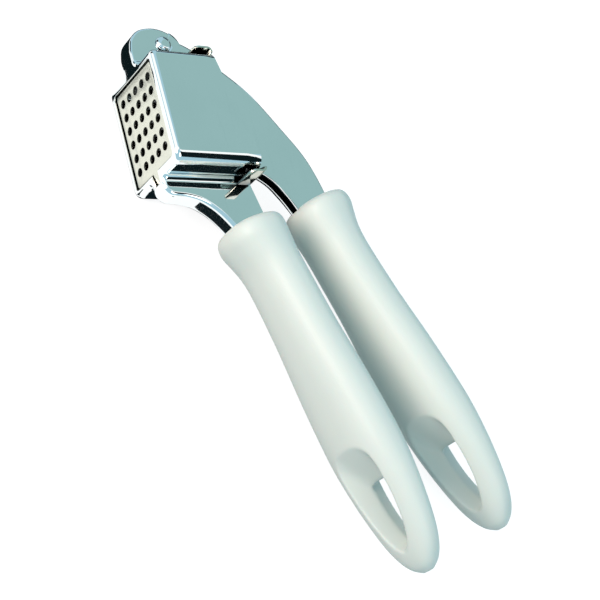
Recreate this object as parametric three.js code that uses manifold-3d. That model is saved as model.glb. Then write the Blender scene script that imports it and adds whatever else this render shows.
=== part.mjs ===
// Garlic press, closed, lying on one side of its chamber.
// X runs from the pivot towards the handle ends, Y from the strainer towards the
// chamber's mouth, and Z is the width of the press. Millimetres.
import * as THREE from "three";
import { mergeVertices } from "three/addons/utils/BufferGeometryUtils.js";
import Module from "manifold-3d";

const wasm = await Module();
wasm.setup();

// Sheet metal and clearances
const SHEET = 0.9;
const GAP = 0.3;
// A distance beyond every edge of the press
const FAR = 150;
const STRAINER_SHEET = 0.7;

// Chamber, measured over the outside of its walls
const CHAMBER_LENGTH = 35;
const CHAMBER_WIDTH = 26;
const CORNER_RADIUS = 3.6;
const PIVOT_CORNER_RADIUS = 1.75;
const THROAT_RADIUS = 2;
const CHANNEL_WIDTH = 6.4;
const RIM_START = 20.4;
const RIM_SLOPE = 0.22;
const EAR_TOP = 17.6;
const WINDOW_MARGIN = 2.2;
const WINDOW_RADIUS = 1.2;
const NOTCH_WIDTH = 3.4;
const NOTCH_END = 36.6;

// Strainer holes
const HOLE_RADIUS = 1.3;
const HOLE_ROWS = 6;
const HOLE_COLUMNS = 5;
const HOLE_PITCH_X = 4.4;
const HOLE_PITCH_Z = 3.78;
const HOLE_CENTRE_X = 17.2;

// The strainer's hooks, which hang it on the chamber's two end walls
const PIVOT_HOOK_REACH = 2.9;
const NECK_HOOK_REACH = 2.3;
const HOOK_LENGTH = 6;
const HOOK_INNER_Z = 3.8;
const HOOK_OUTER_Z = 12;
const STRAINER_WALL_HALF = 9.1;
const STRAINER_WALL_TOP = 16.2;

// Main pivot and plunger pin
const PIVOT = new THREE.Vector2(-8.2, 11.5);
const PIVOT_RADIUS = 1.7;
const PIVOT_HEAD_RADIUS = 2.4;
const PIN_REACH = 30;
const PIN_Y = 7;
const PIN_RADIUS = 1.2;
const PIN_HEAD_RADIUS = 1.9;
const HEAD_HEIGHT = 1;
const PIN_X = PIVOT.x + Math.sqrt(PIN_REACH ** 2 - (PIVOT.y - PIN_Y) ** 2);

// Press lever
const LEVER_WIDTH = 4;
const LEVER_LOBE = 4.6;
const PIN_LOBE = 2.6;

// Plunger
const PLATE_START = 6.1;
const PLATE_END = 32.2;
const PLATE_WIDTH = 22.4;
const PLATE_BOTTOM = 2.4;
const PLATE_SHEET = 0.8;
const PLATE_RIM = 2.6;
const BRACKET_SHEET = 0.9;
const BRACKET_BASE = 0.6;
const BRACKET_LENGTH = 12;

// Grips: where the axis of each starts, and its slope
const GRIP_A_START = new THREE.Vector2(47.8, 27);
const GRIP_A_ANGLE = THREE.MathUtils.degToRad(15);
const GRIP_B_START = new THREE.Vector2(41, 49.7);
const GRIP_B_ANGLE = THREE.MathUtils.degToRad(19.3);
const GRIP_SIDES = 24;
const GRIP_SQUARENESS = 2.5;
const TANG_LENGTH = 44;
const EYE_START = 69;
const EYE_THROUGH = 80;
const EYE_END = 101.5;
const EYE_HALF_WIDTH = 7.6;
const EYE_FLARE = 2.2;

// Colours and finishes
const CHROME = { color: 0xc9d2d3, metalness: 1, roughness: 0.08 };
const STAINLESS = { color: 0xd8dbd0, metalness: 1, roughness: 0.32 };
const PLASTIC = { color: 0xf1f4ee, metalness: 0, roughness: 0.3 };

const group = new THREE.Group();

function addPiece(name, manifold, finish) {
  const mesh = manifold.getMesh();
  const geometry = new THREE.BufferGeometry();
  geometry.setAttribute("position", new THREE.BufferAttribute(new Float32Array(mesh.vertProperties), 3));
  geometry.setIndex(new THREE.BufferAttribute(new Uint32Array(mesh.triVerts), 1));
  geometry.computeVertexNormals();
  const piece = new THREE.Mesh(geometry, new THREE.MeshStandardMaterial(finish));
  piece.name = name;
  group.add(piece);
}

function toSolid(geometry) {
  const bare = geometry.clone();
  bare.deleteAttribute("normal");
  bare.deleteAttribute("uv");
  const merged = mergeVertices(bare, 1e-4);
  const vertProperties = new Float32Array(merged.attributes.position.array);
  const triVerts = new Uint32Array(merged.index.array);
  return new wasm.Manifold(new wasm.Mesh({ numProp: 3, vertProperties, triVerts }));
}

// A flat outline in X and Y, extruded along Z.
function prismZ(shape, low, high) {
  const geometry = new THREE.ExtrudeGeometry(shape, { depth: high - low, bevelEnabled: false, curveSegments: 6 });
  return toSolid(geometry.translate(0, 0, low));
}

// A flat outline in X and Z, symmetric about Z = 0, extruded along Y.
function prismY(shape, low, high) {
  const geometry = new THREE.ExtrudeGeometry(shape, { depth: high - low, bevelEnabled: false, curveSegments: 6 });
  return toSolid(geometry.rotateX(-Math.PI / 2).translate(0, low, 0));
}

function rodZ(centre, radius, low, high, sides = 20) {
  const geometry = new THREE.CylinderGeometry(radius, radius, high - low, sides);
  return toSolid(geometry.rotateX(Math.PI / 2).translate(centre.x, centre.y, (low + high) / 2));
}

function rodY(x, z, radius, low, high, sides = 12) {
  const geometry = new THREE.CylinderGeometry(radius, radius, high - low, sides);
  return toSolid(geometry.translate(x, (low + high) / 2, z));
}

// A box between two corners, given in any order.
function block(x0, x1, y0, y1, z0, z1) {
  const geometry = new THREE.BoxGeometry(Math.abs(x1 - x0), Math.abs(y1 - y0), Math.abs(z1 - z0));
  return toSolid(geometry.translate((x0 + x1) / 2, (y0 + y1) / 2, (z0 + z1) / 2));
}

function points(...pairs) {
  return pairs.map(([x, y]) => new THREE.Vector2(x, y));
}

// A smooth line through a few points, as evenly spaced points.
function smooth(pairs, steps) {
  return new THREE.SplineCurve(points(...pairs)).getSpacedPoints(steps);
}

function arc(x, y, radius, startDegrees, endDegrees, steps) {
  const start = THREE.MathUtils.degToRad(startDegrees);
  const end = THREE.MathUtils.degToRad(endDegrees);
  return new THREE.EllipseCurve(x, y, radius, radius, start, end, end < start).getPoints(steps);
}

// Moves each point of a line sideways, to the left of its direction of travel.
function offsetLine(line, distance, closed = false) {
  const count = line.length;
  return line.map((point, i) => {
    const before = closed ? line[(i + count - 1) % count] : line[Math.max(i - 1, 0)];
    const after = closed ? line[(i + 1) % count] : line[Math.min(i + 1, count - 1)];
    const into = point.clone().sub(before).normalize();
    const out = after.clone().sub(point).normalize();
    if (into.length() === 0) into.copy(out);
    if (out.length() === 0) out.copy(into);
    const left = new THREE.Vector2(-into.y - out.y, into.x + out.x).normalize();
    const stretch = Math.max(left.x * -into.y + left.y * into.x, 0.5);
    return point.clone().addScaledVector(left, distance / stretch);
  });
}

function alongGrip(start, angle, u, v) {
  const along = new THREE.Vector2(Math.cos(angle), Math.sin(angle));
  const across = new THREE.Vector2(-along.y, along.x);
  return start.clone().addScaledVector(along, u).addScaledVector(across, v);
}

const rimHeight = (x) => RIM_START + RIM_SLOPE * x;

// The chamber lever seen along Y: a box with a narrow channel running out of each end.
function planShape(inset) {
  const side = CHAMBER_WIDTH / 2 - inset;
  const channel = CHANNEL_WIDTH / 2 - inset;
  const start = inset;
  const end = CHAMBER_LENGTH - inset;
  const corner = CORNER_RADIUS - inset;
  const pivotCorner = PIVOT_CORNER_RADIUS - inset;
  const throat = THROAT_RADIUS + inset;
  const half = [
    new THREE.Vector2(-FAR, channel),
    ...arc(start - throat, channel + throat, throat, -90, 0, 4),
    ...arc(start + pivotCorner, side - pivotCorner, pivotCorner, 180, 90, 5),
    ...arc(end - corner, side - corner, corner, 90, 0, 5),
    ...arc(end + throat, channel + throat, throat, 180, 270, 4),
    new THREE.Vector2(FAR, channel),
  ];
  const mirrored = half.map((point) => new THREE.Vector2(point.x, -point.y)).reverse();
  return new THREE.Shape([...half, ...mirrored]);
}

// The outside of the chamber lever's web, from the ear to the end of the tang.
function chamberWebLine() {
  return [
    ...smooth([[-13.6, 8.2], [-12.2, 4.1], [-9, 1.1], [-5, 0]], 8),
    ...arc(37.4, 3.4, 3.4, -90, -5, 5),
    ...smooth([[41.2, 7.5], [42.7, 12], [46.8, 17], [54, 21.9], [62, 25.4]], 12),
    alongGrip(GRIP_A_START, GRIP_A_ANGLE, TANG_LENGTH, -3.6),
  ];
}

// The chamber lever's whole outline seen along Z.
function chamberSideLine() {
  return [
    ...chamberWebLine(),
    alongGrip(GRIP_A_START, GRIP_A_ANGLE, TANG_LENGTH, 3.4),
    alongGrip(GRIP_A_START, GRIP_A_ANGLE, 16, 3.4),
    new THREE.Vector2(54, rimHeight(54)),
    new THREE.Vector2(-GAP, rimHeight(-GAP)),
    new THREE.Vector2(-GAP, EAR_TOP),
    ...smooth([[-6, EAR_TOP], [-9.5, 16.9], [-12, 14.9], [-13.3, 11.8]], 6),
  ];
}

function chamberLever() {
  const side = prismZ(new THREE.Shape(chamberSideLine()), -FAR, FAR);
  const web = offsetLine(chamberWebLine(), SHEET);
  const hollowOutline = [new THREE.Vector2(-FAR, web[0].y), ...web, ...points([FAR, 60], [FAR, FAR], [-FAR, FAR])];
  const sideHollow = prismZ(new THREE.Shape(hollowOutline), -FAR, FAR);

  const outer = prismY(planShape(0), -FAR, FAR).intersect(side);
  const hollow = prismY(planShape(SHEET), -FAR, FAR).intersect(sideHollow);

  const notch = block(CHAMBER_LENGTH - 5, NOTCH_END, -1, SHEET + 1, -NOTCH_WIDTH / 2, NOTCH_WIDTH / 2);
  const pivotHole = rodZ(PIVOT, PIVOT_RADIUS + GAP, -FAR, FAR);
  return outer.subtract(hollow).subtract(windowCut(0)).subtract(notch).subtract(pivotHole);
}

// The rectangular window in the chamber's bottom, made smaller by shrink on each side.
function windowCut(shrink) {
  const x0 = WINDOW_MARGIN + shrink;
  const x1 = CHAMBER_LENGTH - WINDOW_MARGIN - shrink;
  const z = CHAMBER_WIDTH / 2 - WINDOW_MARGIN - shrink;
  return prismY(roundedBox(x0, x1, z, WINDOW_RADIUS), -1, SHEET + 0.2);
}

function roundedBox(x0, x1, z, radius) {
  return new THREE.Shape([
    ...arc(x1 - radius, z - radius, radius, 0, 90, 4),
    ...arc(x0 + radius, z - radius, radius, 90, 180, 4),
    ...arc(x0 + radius, -z + radius, radius, 180, 270, 4),
    ...arc(x1 - radius, -z + radius, radius, 270, 360, 4),
  ]);
}

// One of the strainer's four hooks, seen along Z: a tongue up the inside of an end
// wall, over its rim and down the outside. direction is -1 at the pivot, 1 at the neck.
function strainerHook(direction, side) {
  const wall = direction < 0 ? 0 : CHAMBER_LENGTH;
  const t = STRAINER_SHEET;
  const inner = wall - direction * (SHEET + GAP);
  const outer = wall + direction * (direction < 0 ? PIVOT_HOOK_REACH : NECK_HOOK_REACH);
  const top = rimHeight(wall) + 2 * GAP + t;
  const z0 = side * HOOK_INNER_Z;
  const z1 = side * STRAINER_WALL_HALF;
  const tongue = block(inner, inner - direction * t, STRAINER_WALL_TOP - 1, top, z0, z1);
  const bridge = block(inner - direction * t, outer, top - t, top, z0, z1);
  const flap = block(outer, outer - direction * t, top - HOOK_LENGTH, top, z0, side * HOOK_OUTER_Z);
  return tongue.add(bridge).add(flap);
}

// A U of thin sheet that drops into the chamber and hooks over its end walls.
function strainerInsert() {
  const x0 = SHEET + GAP;
  const x1 = CHAMBER_LENGTH - x0;
  const t = STRAINER_SHEET;
  const floor = SHEET + GAP;
  const high = STRAINER_WALL_TOP;
  const outline = points(
    [x0, high], [x0, floor], [x1, floor], [x1, high], [x1 - t, high], [x1 - t, floor + t], [x0 + t, floor + t],
    [x0 + t, high],
  );
  const walls = prismZ(new THREE.Shape(outline), -STRAINER_WALL_HALF, STRAINER_WALL_HALF);
  const plateHalf = CHAMBER_WIDTH / 2 - SHEET - GAP;
  const plate = prismY(roundedBox(x0, x1, plateHalf, CORNER_RADIUS - SHEET - GAP), floor, floor + t);
  const raised = windowCut(GAP).intersect(block(-FAR, FAR, 0.4, floor + t / 2, -FAR, FAR));
  const pad = raised.add(prismY(roundedBox(4, 31, 9, 1), 0.6, floor + t / 2));
  const tab = prismZ(new THREE.Shape(points([31, 0.5], [36.2, 1.4], [36, 2.1], [31, 1.5])), -1.4, 1.4);

  let insert = walls.add(plate).add(pad).add(tab);
  for (const direction of [-1, 1]) {
    for (const side of [-1, 1]) insert = insert.add(strainerHook(direction, side));
  }
  for (let row = 0; row < HOLE_ROWS; row += 1) {
    for (let column = 0; column < HOLE_COLUMNS; column += 1) {
      const x = HOLE_CENTRE_X + (row - (HOLE_ROWS - 1) / 2) * HOLE_PITCH_X;
      const z = (column - (HOLE_COLUMNS - 1) / 2) * HOLE_PITCH_Z;
      insert = insert.subtract(rodY(x, z, HOLE_RADIUS, -1, 4));
    }
  }
  return insert;
}

// A rivet along Z with a domed head outside each of two faces.
function rivet(centre, radius, headRadius, face) {
  const dome = [];
  for (let i = 0; i <= 5; i += 1) {
    const angle = (i / 5) * (Math.PI / 2);
    dome.push(new THREE.Vector2(headRadius * Math.cos(angle), face + HEAD_HEIGHT * Math.sin(angle)));
  }
  dome[5].x = 0;
  const top = [new THREE.Vector2(radius, face), ...dome];
  const bottom = top.map((point) => new THREE.Vector2(point.x, -point.y)).reverse();
  const geometry = new THREE.LatheGeometry([...bottom, ...top], 20);
  return toSolid(geometry.rotateX(Math.PI / 2).translate(centre.x, centre.y, 0));
}

// The outside of the press lever's web, from above the pivot to the end of the tang.
function pressWebLine() {
  return [
    ...smooth(
      [[-11, 16], [-8.7, 21.4], [-2.4, 29.9], [5.2, 38.3], [15.9, 45.9], [27, 52.6], [40, 56.4], [52, 58.6]], 26,
    ),
    alongGrip(GRIP_B_START, GRIP_B_ANGLE, TANG_LENGTH, 3.6),
  ];
}

// The press lever's whole outline seen along Z: its pivot eye, the arch over the
// chamber's end wall, the stem down to the plunger pin, and the tang.
function pressSideLine() {
  return [
    ...pressWebLine(),
    alongGrip(GRIP_B_START, GRIP_B_ANGLE, TANG_LENGTH, -3.6),
    alongGrip(GRIP_B_START, GRIP_B_ANGLE, 15, -4.6),
    ...smooth([[44, 44.4], [38.3, 41], [33, 36.4], [28.6, 27], [PIN_X + PIN_LOBE + 0.6, 13]], 12),
    ...arc(PIN_X, PIN_Y, PIN_LOBE, 20, -180, 9),
    ...smooth([[18.2, 13], [17.2, 19], [13.5, 23.4], [7, 24], [0, 20.8], [-3.4, 15.5]], 14),
    ...arc(PIVOT.x, PIVOT.y, LEVER_LOBE, 10, -185, 12),
  ];
}

function pressLever() {
  const half = LEVER_WIDTH / 2;
  const web = offsetLine(pressWebLine(), -SHEET);
  const hollowOutline = [new THREE.Vector2(-30, web[0].y), ...web, ...points([130, 60], [130, -30], [-30, -30])];
  const hollow = prismZ(new THREE.Shape(hollowOutline), -half + SHEET, half - SHEET);
  return prismZ(new THREE.Shape(pressSideLine()), -half, half)
    .subtract(hollow)
    .subtract(rodZ(PIVOT, PIVOT_RADIUS + GAP, -half - 1, half + 1))
    .subtract(rodZ(new THREE.Vector2(PIN_X, PIN_Y), PIN_RADIUS + GAP, -half - 1, half + 1));
}

// The plate that pushes the garlic, a shallow tray with a turned-up rim.
function pressPlate() {
  const half = PLATE_WIDTH / 2;
  const radius = CORNER_RADIUS - SHEET - GAP;
  const t = PLATE_SHEET;
  const tray = prismY(roundedBox(PLATE_START, PLATE_END, half, radius), PLATE_BOTTOM, PLATE_BOTTOM + PLATE_RIM);
  const inside = roundedBox(PLATE_START + t, PLATE_END - t, half - t, radius - t);
  return tray.subtract(prismY(inside, PLATE_BOTTOM + t, PLATE_BOTTOM + PLATE_RIM + 1));
}

// A small channel welded on the plate, whose two ears hold the plunger pin.
function plungerBracket() {
  const base = PLATE_BOTTOM + PLATE_SHEET + GAP;
  const inner = LEVER_WIDTH / 2 + GAP;
  const outer = inner + BRACKET_SHEET;
  const x0 = PIN_X - BRACKET_LENGTH / 2;
  const x1 = PIN_X + BRACKET_LENGTH / 2;
  const earOutline = [...points([x0, base], [x1, base]), ...arc(PIN_X, PIN_Y, PIN_LOBE + 0.4, 20, 160, 8)];
  const ears = prismZ(new THREE.Shape(earOutline), -outer, outer);
  const between = block(x0 - 1, x1 + 1, base + BRACKET_BASE, PIN_Y + 9, -inner, inner);
  const pinHole = rodZ(new THREE.Vector2(PIN_X, PIN_Y), PIN_RADIUS + GAP, -outer - 1, outer + 1);
  return ears.subtract(between).subtract(pinHole);
}

// Sections of a grip: distance from the collar, half thickness, half width, and how
// far the section's middle lies towards the outside of the press.
const GRIP_SECTIONS = [
  { u: 0, thick: 6.9, wide: 7.8, out: 1.2 },
  { u: 0.9, thick: 8.3, wide: 9.3, out: 1.3 },
  { u: 2.6, thick: 9.1, wide: 10.2, out: 1.3 },
  { u: 5, thick: 9.2, wide: 10.4, out: 1.3 },
  { u: 8, thick: 8.5, wide: 10.1, out: 0.9 },
  { u: 13, thick: 7.4, wide: 9.8, out: 0.3 },
  { u: 19, thick: 7.1, wide: 9.8, out: 0 },
  { u: 35, thick: 7.1, wide: 10.5, out: 0 },
  { u: 52, thick: 7.4, wide: 12, out: 0 },
  { u: 68, thick: 7.6, wide: 13, out: 0 },
  { u: 76, thick: 7.2, wide: 12.9, out: 0 },
  { u: 86, thick: 6.2, wide: 12, out: 0 },
  { u: 96, thick: 5.3, wide: 10, out: 0 },
  { u: 102, thick: 4.6, wide: 7.6, out: 0 },
  { u: 106, thick: 3.4, wide: 4.6, out: 0 },
  { u: 108, thick: 1.4, wide: 1.8, out: 0 },
];

// A closed skin over a row of rings that all have the same number of points.
function loft(rings) {
  const sides = rings[0].length;
  const vertices = rings.flat();
  const faces = [];
  for (let i = 0; i + 1 < rings.length; i += 1) {
    for (let j = 0; j < sides; j += 1) {
      const a = i * sides + j;
      const b = i * sides + ((j + 1) % sides);
      faces.push(a, b, a + sides, b, b + sides, a + sides);
    }
  }
  const last = (rings.length - 1) * sides;
  for (let j = 1; j + 1 < sides; j += 1) {
    faces.push(0, j + 1, j, last, last + j, last + j + 1);
  }
  const geometry = new THREE.BufferGeometry().setFromPoints(vertices);
  geometry.setIndex(faces);
  return toSolid(geometry);
}

// A rounded section across a grip, with outward as the sign of its outer side.
function gripRing(start, angle, section, outward) {
  const ring = [];
  for (let i = 0; i < GRIP_SIDES; i += 1) {
    const turn = (i / GRIP_SIDES) * 2 * Math.PI;
    const power = 2 / GRIP_SQUARENESS;
    const v = Math.sign(Math.cos(turn)) * Math.abs(Math.cos(turn)) ** power * section.thick;
    const z = Math.sign(Math.sin(turn)) * Math.abs(Math.sin(turn)) ** power * section.wide;
    const place = alongGrip(start, angle, section.u, v + section.out * outward);
    ring.push(new THREE.Vector3(place.x, place.y, z));
  }
  return ring;
}

// Half of the hanging eye: a dish from one face that narrows to the middle of the grip.
function eyeDish(start, angle, side) {
  const rings = [0, 1].map((atFace) => {
    const from = THREE.MathUtils.lerp(EYE_THROUGH, EYE_START, atFace * 1.2);
    const to = EYE_END - 2 + atFace * 2;
    const half = EYE_HALF_WIDTH - EYE_FLARE * (1 - atFace);
    const v = side * (atFace === 1 ? 9 : -0.2);
    const middle = (from + to) / 2;
    const ring = [];
    for (let i = 0; i < 20; i += 1) {
      const turn = (i / 20) * 2 * Math.PI;
      const u = middle + ((to - from) / 2) * Math.sign(Math.cos(turn)) * Math.abs(Math.cos(turn)) ** 0.8;
      const place = alongGrip(start, angle, u, v);
      const z = half * Math.sign(Math.sin(turn)) * Math.abs(Math.sin(turn)) ** 0.8;
      ring.push(new THREE.Vector3(place.x, place.y, z));
    }
    return side > 0 ? ring.reverse() : ring;
  });
  return loft(rings);
}

function grip(start, angle, outward, tangLine) {
  const body = loft(GRIP_SECTIONS.map((section) => gripRing(start, angle, section, outward)));
  const pocket = prismZ(new THREE.Shape(tangLine), -CHANNEL_WIDTH / 2 - GAP, CHANNEL_WIDTH / 2 + GAP);
  return body.subtract(pocket).subtract(eyeDish(start, angle, 1)).subtract(eyeDish(start, angle, -1));
}

addPiece("chamber_lever", chamberLever(), CHROME);
addPiece("strainer_insert", strainerInsert(), STAINLESS);
addPiece("pivot_rivet", rivet(PIVOT, PIVOT_RADIUS, PIVOT_HEAD_RADIUS, CHANNEL_WIDTH / 2 + GAP), CHROME);
addPiece("press_lever", pressLever(), CHROME);
addPiece("press_plate", pressPlate(), CHROME);
addPiece("plunger_bracket", plungerBracket(), CHROME);
const bracketFace = LEVER_WIDTH / 2 + 2 * GAP + BRACKET_SHEET;
addPiece("plunger_pin", rivet(new THREE.Vector2(PIN_X, PIN_Y), PIN_RADIUS, PIN_HEAD_RADIUS, bracketFace), CHROME);
addPiece("grip_a", grip(GRIP_A_START, GRIP_A_ANGLE, -1, offsetLine(chamberSideLine(), -GAP, true)), PLASTIC);
addPiece("grip_b", grip(GRIP_B_START, GRIP_B_ANGLE, 1, offsetLine(pressSideLine(), GAP, true)), PLASTIC);

// The origin is the middle of the bounding box's bottom.
const bounds = new THREE.Box3().setFromObject(group);
group.position.set(-(bounds.min.x + bounds.max.x) / 2, -(bounds.min.y + bounds.max.y) / 2, -bounds.min.z);

export default group;
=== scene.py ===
"""Looks for a garlic press: bent chromed sheet, a pierced strainer, rivets and moulded grips."""
import math

import bmesh
import bpy
from mathutils import Matrix, Vector


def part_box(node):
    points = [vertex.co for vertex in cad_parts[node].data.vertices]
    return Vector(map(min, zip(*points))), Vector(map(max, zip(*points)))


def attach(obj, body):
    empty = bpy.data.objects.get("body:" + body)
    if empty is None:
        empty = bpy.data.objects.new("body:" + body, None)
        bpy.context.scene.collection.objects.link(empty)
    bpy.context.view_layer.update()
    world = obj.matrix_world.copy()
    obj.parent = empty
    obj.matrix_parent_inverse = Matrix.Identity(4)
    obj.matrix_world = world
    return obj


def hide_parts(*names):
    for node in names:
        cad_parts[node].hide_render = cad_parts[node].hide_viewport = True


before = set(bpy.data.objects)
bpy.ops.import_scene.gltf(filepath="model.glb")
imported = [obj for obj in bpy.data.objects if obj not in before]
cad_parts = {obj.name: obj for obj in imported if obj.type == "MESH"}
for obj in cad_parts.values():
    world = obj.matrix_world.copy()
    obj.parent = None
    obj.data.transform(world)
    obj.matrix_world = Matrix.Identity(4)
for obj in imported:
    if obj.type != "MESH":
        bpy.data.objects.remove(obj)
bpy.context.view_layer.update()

bl_info = {
    "name": "Garlic press",
    "version": (1, 0, 0),
    "blender": (4, 5, 0),
    "location": "View3D > Sidebar > Garlic press",
    "description": "Builds the chromed levers, strainer, plunger and moulded grips of a garlic press",
    "category": "Object",
}

MM = 0.001

# Shape of the press in millimetres. X runs from the chamber's end wall by the pivot
# towards the handles, Y from the strainer to the chamber's mouth, Z across the press.
CHAMBER_LENGTH = 35.0
CHAMBER_HALF = 13.0
CHANNEL_HALF = 3.2
CORNER_RADIUS = 3.6
PIVOT_CORNER_RADIUS = 1.75
THROAT_RADIUS = 2.0
RIM_START = 20.4
RIM_SLOPE = 0.22
EAR_TOP = 17.6
HOOK_INNER_Z = 3.8
HOOK_OUTER_Z = 12.0
WINDOW_MARGIN = 2.2
WINDOW_RADIUS = 1.2
NOTCH_HALF = 1.7
NOTCH_END = 36.6
EAR_TIP_X = -13.6
PIVOT = Vector((-8.2, 11.5))
PIVOT_HOLE = 2.0
PIN = Vector((21.4606, 7.0))
PIN_HOLE = 1.5
PIN_LOBE = 2.6
LEVER_LOBE = 4.6
LEVER_HALF = 2.0
LEVER_BEND = 1.0
TANG_LENGTH = 44.0
TANG_WEB = 3.6
POCKET_GAP = 0.3
DRILL_REACH = 20.0
BEND_STRIP = 0.15

# The middle of each grip's collar and the direction in which the grip runs.
GRIP_A = Vector((47.8, 27.0)), math.radians(15)
GRIP_B = Vector((41.0, 49.7)), math.radians(19.3)

# Where the local millimetre frame lies: the ear's tip and the web's outer face touch
# the low corner of the chamber lever's box, and Z = 0 is the press's middle plane.
ORIGIN = Vector(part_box("chamber_lever")[0]) - Vector((EAR_TIP_X, 0.0, -CHAMBER_HALF)) * MM


def at(x, y, z):
    """A place in local millimetres as a place in the frame, in metres."""
    return ORIGIN + Vector((x, y, z)) * MM


# ---------------------------------------------------------------- lines

QUARTER = [math.radians(15 * i) for i in range(7)]


def cubic(p1, p2, v0, v1, t):
    """The place at t between two places, on the curve with the given slopes at its ends."""
    return (2 * p1 - 2 * p2 + v0 + v1) * t ** 3 + (3 * p2 - 3 * p1 - 2 * v0 - v1) * t ** 2 + v0 * t + p1


def smooth(pairs, steps):
    """Evenly spaced points on a smooth line through a few points."""
    points = [Vector(p) for p in pairs]
    last = len(points) - 1
    dense = []
    for i in range(last):
        p0, p1, p2, p3 = (points[min(max(k, 0), last)] for k in range(i - 1, i + 3))
        dense += [cubic(p1, p2, (p2 - p0) / 2, (p3 - p1) / 2, k / 24) for k in range(24)]
    dense.append(points[-1])
    return spaced(dense, steps)


def spaced(points, steps):
    """The same line with its points evenly spaced."""
    lengths = [0.0]
    for a, b in zip(points, points[1:]):
        lengths.append(lengths[-1] + (b - a).length)
    result, j = [], 0
    for i in range(steps + 1):
        want = lengths[-1] * i / steps
        while j < len(points) - 2 and lengths[j + 1] < want:
            j += 1
        span = lengths[j + 1] - lengths[j]
        result.append(points[j].lerp(points[j + 1], (want - lengths[j]) / span if span else 0))
    return result


def arc(x, y, radius, start, end, steps):
    """Points round part of a circle, with its angles in degrees."""
    turns = [math.radians(start + (end - start) * i / steps) for i in range(steps + 1)]
    return [Vector((x + radius * math.cos(t), y + radius * math.sin(t))) for t in turns]


def without_repeats(points):
    """The same points, less those that all but touch the one before."""
    kept = [points[0]]
    for point in points[1:]:
        if (point - kept[-1]).length > 0.02:
            kept.append(point)
    return kept


def left_normals(line):
    """The unit direction to the left of travel at each point of a line."""
    result = []
    for i in range(len(line)):
        along = (line[min(i + 1, len(line) - 1)] - line[max(i - 1, 0)]).normalized()
        result.append(Vector((-along.y, along.x)))
    return result


def rounded_box(x0, x1, half, radius, steps=6):
    """A closed outline in X and Z, symmetric about Z = 0."""
    return [
        *arc(x1 - radius, half - radius, radius, 0, 90, steps),
        *arc(x0 + radius, half - radius, radius, 90, 180, steps),
        *arc(x0 + radius, -half + radius, radius, 180, 270, steps),
        *arc(x1 - radius, -half + radius, radius, 270, 360, steps),
    ]


def along_grip(grip_axis, u, v):
    """A place at a distance along a grip from its collar and at another to the left of it."""
    start, angle = grip_axis
    along = Vector((math.cos(angle), math.sin(angle)))
    return start + along * u + Vector((-along.y, along.x)) * v


def rim_height(x):
    """How high the chamber's rim lies above its window, all along the sloping rim."""
    return RIM_START + RIM_SLOPE * x


# ---------------------------------------------------------------- meshes

class Skin:
    """Collects points and faces, given in local millimetres, and makes them an object."""

    def __init__(self):
        self.bm = bmesh.new()

    def row(self, points):
        return [self.bm.verts.new(at(*p)) for p in points]

    def face(self, *corners):
        kept = [v for i, v in enumerate(corners) if (v.co - corners[i - 1].co).length > 1e-6]
        if len(kept) > 2:
            self.bm.faces.new(kept)

    def grid(self, rows, closed=False):
        """Faces between rows of points that are all equally long."""
        made = [self.row(points) for points in rows]
        for a, b in zip(made, made[1:]):
            for i in range(len(a) if closed else len(a) - 1):
                j = (i + 1) % len(a)
                self.face(a[i], a[j], b[j], b[i])

    def fill(self, *loops):
        """One flat region between an outline and the holes in it."""
        edges = []
        for points in loops:
            made = self.row(points)
            edges += [self.bm.edges.new((made[i - 1], made[i])) for i in range(len(made))]
        bmesh.ops.triangle_fill(self.bm, edges=edges, use_beauty=True, use_dissolve=False)

    def fan(self, loop):
        """Closes a flat loop with triangles from its first point."""
        made = self.row(loop)
        for i in range(1, len(made) - 1):
            self.face(made[0], made[i], made[i + 1])

    def build(self, name, inside):
        """Welds the faces and turns them away from a point inside the piece."""
        bmesh.ops.remove_doubles(self.bm, verts=self.bm.verts, dist=2e-6)
        bmesh.ops.recalc_face_normals(self.bm, faces=self.bm.faces)
        middle = at(*inside)
        outward = sum(
            (f.calc_center_median() - middle).dot(f.normal) * f.calc_area() for f in self.bm.faces)
        if outward < 0:
            bmesh.ops.reverse_faces(self.bm, faces=self.bm.faces)
        mesh = bpy.data.meshes.new(name)
        self.bm.to_mesh(mesh)
        self.bm.free()
        mesh.shade_smooth()
        piece = bpy.data.objects.new(name, mesh)
        bpy.context.scene.collection.objects.link(piece)
        return piece


def thicken(piece, sheet):
    """Gives a skin the thickness of its sheet, towards its inside."""
    solid = piece.modifiers.new("sheet", "SOLIDIFY")
    solid.thickness = sheet * MM
    solid.offset = -1
    solid.use_even_offset = True
    bake(piece)


def soften(piece, width, limit=50):
    """Rounds the cut edges of a sheet, as tumbling does."""
    edge = piece.modifiers.new("edges", "BEVEL")
    edge.width = width * MM
    edge.segments = 2
    edge.limit_method = "ANGLE"
    edge.angle_limit = math.radians(limit)
    edge.harden_normals = False
    bake(piece)


def drill(piece, holes):
    """Drills round holes along Z, each given as its middle and radius."""
    for middle, radius in holes:
        tool = Skin()
        circle = arc(middle.x, middle.y, radius, 0, 352.5, 47)
        ends = [[(p.x, p.y, z) for p in circle] for z in (-DRILL_REACH, DRILL_REACH)]
        tool.grid(ends, closed=True)
        for end in ends:
            tool.fill(end)
        cut(piece, tool.build("drill", (middle.x, middle.y, 0)))


def cut(piece, tool):
    """Takes the tool's shape out of the piece and removes the tool."""
    boolean = piece.modifiers.new("cut", "BOOLEAN")
    boolean.operation = "DIFFERENCE"
    boolean.solver = "EXACT"
    boolean.object = tool
    bake(piece)
    bpy.data.objects.remove(tool, do_unlink=True)


def bake(piece):
    """Replaces a piece's mesh by the result of its modifiers."""
    graph = bpy.context.evaluated_depsgraph_get()
    mesh = bpy.data.meshes.new_from_object(piece.evaluated_get(graph))
    if not len(mesh.polygons):
        raise RuntimeError(f"{piece.name} came out empty")
    piece.modifiers.clear()
    piece.data = mesh


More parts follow.
